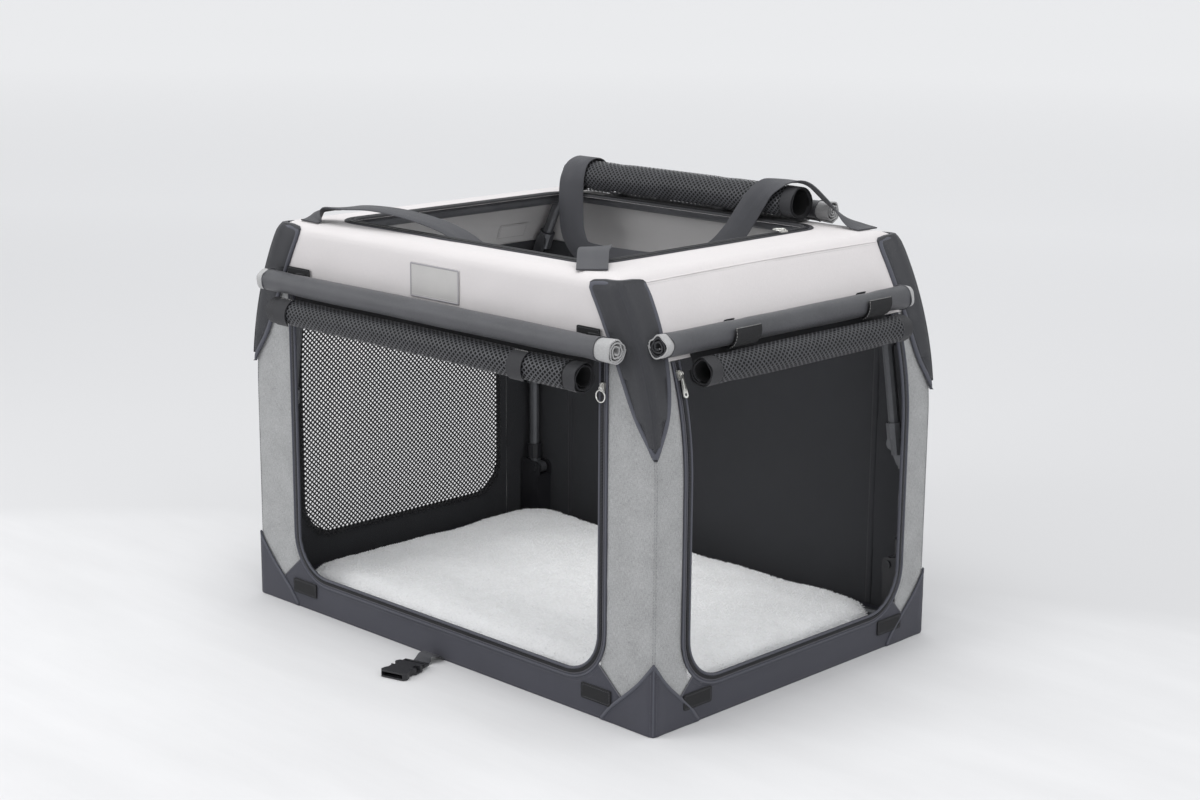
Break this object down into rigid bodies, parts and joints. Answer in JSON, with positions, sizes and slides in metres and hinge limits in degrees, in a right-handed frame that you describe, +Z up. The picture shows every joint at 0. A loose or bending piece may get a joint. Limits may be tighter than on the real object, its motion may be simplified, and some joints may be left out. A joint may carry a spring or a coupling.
{
  "type": "folding dog crate",
  "caption": "Soft-sided folding pet crate with a hinged tube frame, zipped doors rolled up, roof opening, webbing handles and a fleece mat.",
  "frame": {"origin": "middle of the base, on the floor", "axes": "+X along the long side towards the end door, +Y towards the closed back wall, +Z up"},
  "size_m": [0.7927, 0.6442, 0.598],
  "materials": {
    "cream_fabric": "pale woven polyester, matte",
    "grey_fabric": "heather grey woven polyester, matte",
    "charcoal_fabric": "charcoal coated polyester, satin",
    "black_mesh": "black coated open mesh",
    "webbing": "dark webbing and tape, matte",
    "floor_fabric": "dark woven floor cloth",
    "fleece": "white fleece pile",
    "frame_steel": "grey painted steel tube",
    "fitting_plastic": "black moulded plastic",
    "zip_metal": "plated zip metal",
    "badge_rubber": "soft moulded badge, bare"
  },
  "bodies": {
    "root": {"floor_sheet": "floor_fabric", "front_base_rail": "frame_steel", "back_base_rail": "frame_steel", "left_base_rail": "frame_steel", "right_base_rail": "frame_steel", "front_left_hinge_bracket": "fitting_plastic", "front_right_hinge_bracket": "fitting_plastic", "back_left_hinge_bracket": "fitting_plastic", "back_right_hinge_bracket": "fitting_plastic", "base_band": "charcoal_fabric", "fleece_mat": "fleece", "front_left_corner_panel": "grey_fabric", "front_right_corner_panel": "grey_fabric", "back_left_corner_panel": "grey_fabric", "back_right_corner_panel": "grey_fabric", "back_panel": "charcoal_fabric", "far_end_panel": "charcoal_fabric", "window_net": "black_mesh", "front_door_zip": "webbing", "end_door_zip": "webbing"},
    "storage_strap": {"storage_strap_webbing": "webbing", "storage_buckle": "fitting_plastic"},
    "left_lower": {"front_left_lower_post": "frame_steel", "back_left_lower_post": "frame_steel"},
    "left_upper": {"front_left_upper_post": "frame_steel", "back_left_upper_post": "frame_steel"},
    "right_lower": {"front_right_lower_post": "frame_steel", "back_right_lower_post": "frame_steel"},
    "right_upper": {"front_right_upper_post": "frame_steel", "back_right_upper_post": "frame_steel"},
    "front_left_sleeve": {"front_left_lock_sleeve": "fitting_plastic"},
    "back_left_sleeve": {"back_left_lock_sleeve": "fitting_plastic"},
    "front_right_sleeve": {"front_right_lock_sleeve": "fitting_plastic"},
    "back_right_sleeve": {"back_right_lock_sleeve": "fitting_plastic"},
    "top": {"front_roof_hoop": "frame_steel", "back_roof_hoop": "frame_steel", "left_roof_bar": "frame_steel", "right_roof_bar": "frame_steel", "upper_cover": "cream_fabric", "roof_door_zip": "webbing", "front_left_guard": "charcoal_fabric", "front_right_guard": "charcoal_fabric", "back_left_guard": "charcoal_fabric", "back_right_guard": "charcoal_fabric", "front_flap_roll": "charcoal_fabric", "front_mesh_roll": "black_mesh", "end_flap_roll": "charcoal_fabric", "end_mesh_roll": "black_mesh", "far_window_flap_roll": "charcoal_fabric", "roof_mesh_roll": "black_mesh", "roof_flap_roll": "charcoal_fabric", "badge": "badge_rubber"},
    "front_handle": {"front_handle": "webbing"},
    "back_handle": {"back_handle": "webbing"},
    "front_slider": {"front_zip_slider": "zip_metal"},
    "front_pull": {"front_zip_pull": "zip_metal"},
    "end_slider": {"end_zip_slider": "zip_metal"},
    "end_pull": {"end_zip_pull": "zip_metal"},
    "roof_slider": {"roof_zip_slider": "zip_metal"},
    "roof_pull": {"roof_zip_pull": "zip_metal"}
  },
  "joints": [
    {"name": "fold", "type": "hinge", "parent": "root", "child": "left_lower", "pos_m": [-0.344, 0, 0.095], "axis": [0, 1, 0], "range_deg": [0, 84], "deforming": ["front_left_corner_panel", "front_right_corner_panel", "back_left_corner_panel", "back_right_corner_panel", "back_panel", "far_end_panel", "window_net", "front_door_zip", "end_door_zip", "front_left_guard", "front_right_guard", "back_left_guard", "back_right_guard"]},
    {"name": "left_knee", "type": "hinge", "parent": "left_lower", "child": "left_upper", "pos_m": [-0.344, 0, 0.2625], "axis": [0, 1, 0], "range_deg": [-168, 0]},
    {"name": "roof_level", "type": "hinge", "parent": "left_upper", "child": "top", "pos_m": [-0.344, 0, 0.43], "axis": [0, 1, 0], "range_deg": [0, 84]},
    {"name": "right_base", "type": "hinge", "parent": "root", "child": "right_lower", "pos_m": [0.344, 0, 0.095], "axis": [0, 1, 0], "range_deg": [-84, 0]},
    {"name": "right_knee", "type": "hinge", "parent": "right_lower", "child": "right_upper", "pos_m": [0.344, 0, 0.2625], "axis": [0, 1, 0], "range_deg": [0, 168]},
    {"name": "front_left_lock", "type": "slide", "parent": "left_lower", "child": "front_left_sleeve", "axis": [0, 0, 1], "range_m": [0, 0.025]},
    {"name": "front_right_lock", "type": "slide", "parent": "right_lower", "child": "front_right_sleeve", "axis": [0, 0, 1], "range_m": [0, 0.025]},
    {"name": "back_left_lock", "type": "slide", "parent": "left_lower", "child": "back_left_sleeve", "axis": [0, 0, 1], "range_m": [0, 0.025]},
    {"name": "back_right_lock", "type": "slide", "parent": "right_lower", "child": "back_right_sleeve", "axis": [0, 0, 1], "range_m": [0, 0.025]},
    {"name": "front_handle_lift", "type": "hinge", "parent": "top", "child": "front_handle", "pos_m": [0, -0.2655, 0.5435], "axis": [1, 0, 0], "range_deg": [0, 80]},
    {"name": "back_handle_lift", "type": "slide", "parent": "top", "child": "back_handle", "axis": [0, 0, 1], "range_m": [0, 0.045]},
    {"name": "storage_strap_lift", "type": "hinge", "parent": "root", "child": "storage_strap", "pos_m": [-0.002, -0.2665, 0.0015], "axis": [-1, 0, 0], "range_deg": [0, 40]},
    {"name": "front_zip_run", "type": "slide", "parent": "top", "child": "front_slider", "axis": [0, 0, -1], "range_m": [0, 0.03]},
    {"name": "end_zip_run", "type": "slide", "parent": "top", "child": "end_slider", "axis": [0.2878, 0, -0.9577], "range_m": [0, 0.03]},
    {"name": "roof_zip_run", "type": "slide", "parent": "top", "child": "roof_slider", "axis": [0, -1, 0], "range_m": [0, 0.03]},
    {"name": "front_pull_swing", "type": "hinge", "parent": "front_slider", "child": "front_pull", "pos_m": [0.295, -0.2717, 0.4155], "axis": [-1, 0, 0], "range_deg": [0, 120]},
    {"name": "end_pull_swing", "type": "hinge", "parent": "end_slider", "child": "end_pull", "pos_m": [0.36645, -0.211, 0.43293], "axis": [0, -1, 0], "range_deg": [0, 100]},
    {"name": "roof_pull_swing", "type": "hinge", "parent": "roof_slider", "child": "roof_pull", "pos_m": [0.225, 0.1435, 0.5477], "axis": [-1, 0, 0], "range_deg": [0, 150]}
  ],
  "couplings": [
    {"joint": "left_knee", "follows": "fold", "ratio": -2},
    {"joint": "roof_level", "follows": "fold", "ratio": 1},
    {"joint": "right_base", "follows": "fold", "ratio": -1},
    {"joint": "right_knee", "follows": "fold", "ratio": 2}
  ]
}
